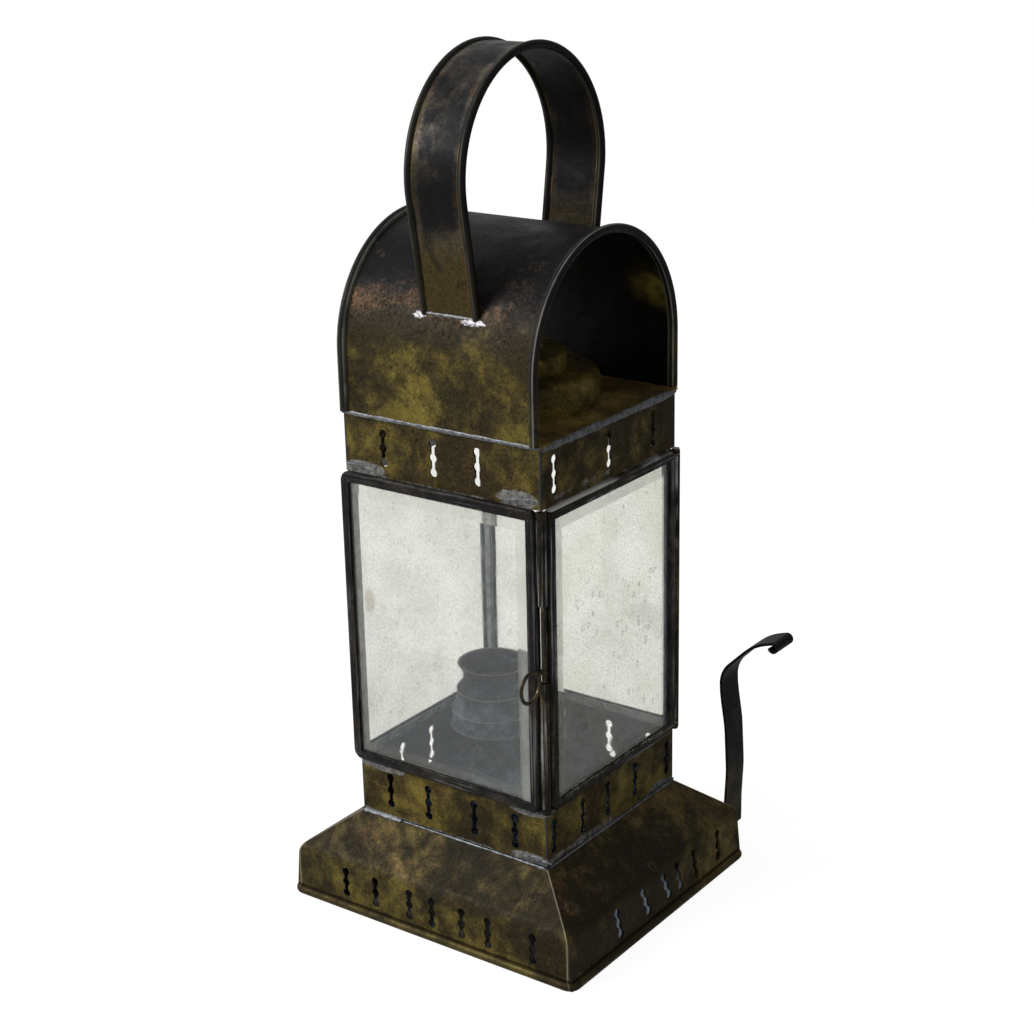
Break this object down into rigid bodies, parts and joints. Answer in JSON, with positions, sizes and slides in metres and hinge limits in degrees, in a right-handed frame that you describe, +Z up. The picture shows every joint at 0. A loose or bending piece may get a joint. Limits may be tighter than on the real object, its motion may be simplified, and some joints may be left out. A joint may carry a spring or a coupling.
{
  "type": "candle lantern",
  "caption": "Glass-sided sheet-brass candle lantern with hipped vented foot, barrel roof, strap handle and a hinged door held by a drop bolt.",
  "frame": {"origin": "centre of the foot's rim, on the surface that the lantern stands on", "axes": "+Z up; -Y to the fixed front pane; +X to the hinged door"},
  "size_m": [0.169, 0.1564, 0.3766],
  "materials": {
    "aged_brass": "aged, speckled",
    "dark_brass": "dark patina",
    "frame_channel": "dull, leaded",
    "wire": "dark patina",
    "glass": "dusty, bevelled",
    "inner_metal": "sooty",
    "strap_metal": "blackened"
  },
  "bodies": {
    "lantern": {"foot_shell": "aged_brass", "foot_wire": "wire", "floor_plate": "inner_metal", "lower_collar": "aged_brass", "candle_stem": "inner_metal", "candle_cup": "inner_metal", "front_frame": "frame_channel", "left_frame": "frame_channel", "back_frame": "frame_channel", "front_glass": "glass", "left_glass": "glass", "back_glass": "glass", "upper_collar": "aged_brass", "deck_plate": "aged_brass", "chimney_crown": "aged_brass", "roof_shell": "dark_brass", "roof_wires": "wire", "handle_strap": "dark_brass", "handle_wires": "wire", "rear_strap": "strap_metal", "upper_knuckle": "frame_channel", "lower_knuckle": "frame_channel", "hinge_pin": "wire", "latch_tube": "frame_channel"},
    "door": {"door_frame": "frame_channel", "door_glass": "glass", "door_knuckle": "frame_channel", "keeper_tube": "frame_channel"},
    "bolt": {"latch_bolt": "wire", "pull_ring": "wire"}
  },
  "joints": [
    {"name": "door_hinge", "type": "hinge", "parent": "lantern", "child": "door", "pos_m": [0.05055, 0.05055, 0.0676], "axis": [0, 0, 1], "range_deg": [0, 105]},
    {"name": "bolt_slide", "type": "slide", "parent": "lantern", "child": "bolt", "axis": [0, 0, 1], "range_m": [-0.0035, 0.025]}
  ]
}
